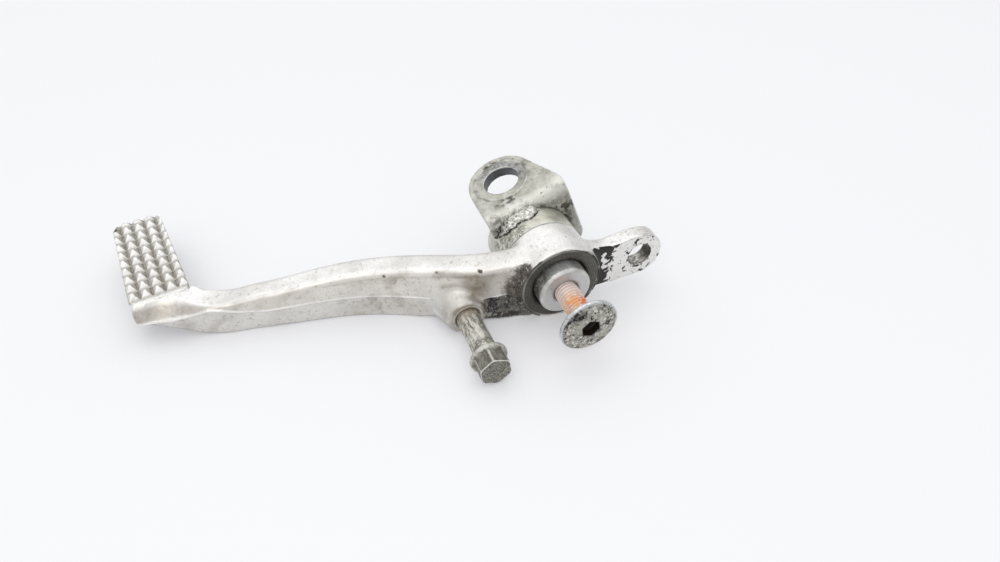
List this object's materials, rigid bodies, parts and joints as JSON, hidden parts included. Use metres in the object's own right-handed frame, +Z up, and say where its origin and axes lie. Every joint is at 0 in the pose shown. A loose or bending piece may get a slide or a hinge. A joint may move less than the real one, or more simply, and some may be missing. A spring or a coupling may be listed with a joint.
{
  "type": "rear brake pedal",
  "caption": "Cast motorbike rear brake pedal with a studded foot pad, a tail lug for the brake rod and a stub axle on a bent steel bracket with a bolting eye.",
  "frame": {"origin": "centre of the bracket's eye, on the worn seat of its flange", "axes": "+X along the pedal's length towards the tail lug, +Y along the pivot away from the bolt heads, +Z up"},
  "size_m": [0.1786, 0.1111, 0.038],
  "materials": {
    "cast_aluminium": "as cast, worn",
    "bush_bronze": "plain bearing",
    "seal_rubber": "matte",
    "dull_zinc": "dull zinc plating",
    "bright_zinc": "zinc plating",
    "pitted_steel": "pitted zinc plating",
    "worn_steel": "worn and stained",
    "weld_steel": "as welded"
  },
  "bodies": {
    "bracket": {"bracket_plate": "worn_steel", "pivot_stub": "bright_zinc", "weld_bead": "weld_steel", "pivot_bolt": "pitted_steel"},
    "pedal": {"pedal_arm": "cast_aluminium", "pivot_bush": "bush_bronze", "front_dust_seal": "seal_rubber", "rear_dust_seal": "seal_rubber", "post_bolt": "dull_zinc"}
  },
  "joints": [
    {"name": "pedal_pivot", "type": "hinge", "parent": "bracket", "child": "pedal", "pos_m": [0.0053, -0.0329, -0.01691], "axis": [0, -1, 0], "range_deg": [-12, 18]}
  ]
}
